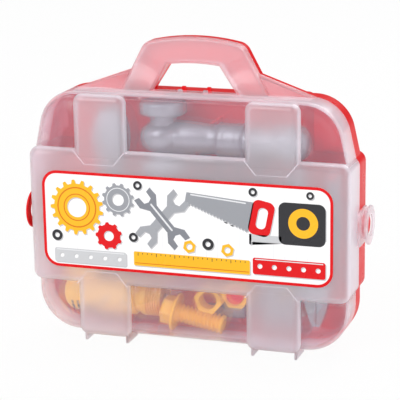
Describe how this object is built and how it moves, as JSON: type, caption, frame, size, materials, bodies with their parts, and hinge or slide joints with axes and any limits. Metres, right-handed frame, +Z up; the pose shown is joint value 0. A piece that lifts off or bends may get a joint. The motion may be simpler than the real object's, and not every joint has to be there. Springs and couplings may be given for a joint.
{
  "type": "toy tool box",
  "caption": "Toy tool case of two moulded shells hinged along the bottom, with arched handle, side clips, a label on the clear front and toy tools inside.",
  "frame": {"origin": "centre of the case's footprint, at the level of the feet", "axes": "+X along the width to the right seen from the front, -Y towards the clear front, +Z up"},
  "size_m": [0.3054, 0.0684, 0.274],
  "materials": {
    "red_moulding": "glossy moulded plastic, bright red",
    "clear_moulding": "clear moulded plastic, glossy, with frosted pads, belt and handle",
    "label_print": "printed sheet, white field in a red border",
    "yellow_plastic": "moulded plastic, warm yellow",
    "grey_plastic": "moulded plastic, mid grey, satin",
    "black_plastic": "moulded plastic, black, satin",
    "red_plastic": "moulded plastic, red"
  },
  "bodies": {
    "case": {"back_shell": "red_moulding", "hinge_pins": "red_moulding", "hammer_head": "grey_plastic", "hammer_handle": "grey_plastic", "drill_front_half": "yellow_plastic", "drill_back_half": "yellow_plastic", "drill_bit": "grey_plastic", "screwdriver_handle": "grey_plastic", "screwdriver_blade": "grey_plastic", "pliers_fixed_arm": "grey_plastic", "pliers_rivet": "yellow_plastic", "wrench_body": "grey_plastic", "bolts": "yellow_plastic", "ring_nuts": "yellow_plastic", "slotted_screws": "black_plastic", "red_strips": "red_plastic", "grey_strips": "grey_plastic"},
    "lid": {"front_shell": "clear_moulding", "label_sheet": "label_print"},
    "right_clip": {"right_clip": "clear_moulding"},
    "left_clip": {"left_clip": "red_moulding"},
    "drill_chuck": {"drill_chuck": "yellow_plastic"},
    "drill_trigger": {"drill_trigger": "grey_plastic"},
    "pliers_moving_arm": {"pliers_moving_arm": "grey_plastic"},
    "wrench_jaw": {"wrench_jaw": "grey_plastic"},
    "wrench_worm": {"wrench_worm": "yellow_plastic"}
  },
  "joints": [
    {"name": "lid_hinge", "type": "hinge", "parent": "case", "child": "lid", "pos_m": [0, 0.00415, 0.00375], "axis": [1, 0, 0], "range_deg": [0, 165]},
    {"name": "right_clip_flex", "type": "hinge", "parent": "lid", "child": "right_clip", "pos_m": [0.1455, -0.00485, 0.114], "axis": [0, 0, -1], "range_deg": [0, 20], "stiffness_Nm_per_rad": 0.5},
    {"name": "left_clip_flex", "type": "hinge", "parent": "case", "child": "left_clip", "pos_m": [-0.1455, 0.01315, 0.114], "axis": [0, 0, -1], "range_deg": [0, 20], "stiffness_Nm_per_rad": 0.5},
    {"name": "chuck_spin", "type": "hinge", "parent": "case", "child": "drill_chuck", "pos_m": [-0.045, 0.00615, 0.035], "axis": [1, 0, 0], "continuous": true},
    {"name": "trigger_pull", "type": "slide", "parent": "case", "child": "drill_trigger", "axis": [-1, 0, 0], "range_m": [0, 0.004], "stiffness_N_per_m": 200},
    {"name": "pliers_open", "type": "hinge", "parent": "case", "child": "pliers_moving_arm", "pos_m": [0.11, -0.00185, 0.072], "axis": [0, -1, 0], "range_deg": [0, 12]},
    {"name": "jaw_slide", "type": "slide", "parent": "case", "child": "wrench_jaw", "axis": [1, 0, 0], "range_m": [0, 0.008]},
    {"name": "worm_spin", "type": "hinge", "parent": "case", "child": "wrench_worm", "pos_m": [0.08, 0.01615, 0.0487], "axis": [1, 0, 0], "range_deg": [0, 720]}
  ],
  "couplings": [
    {"joint": "worm_spin", "follows": "jaw_slide", "rad_per_m": 1570.8}
  ]
}
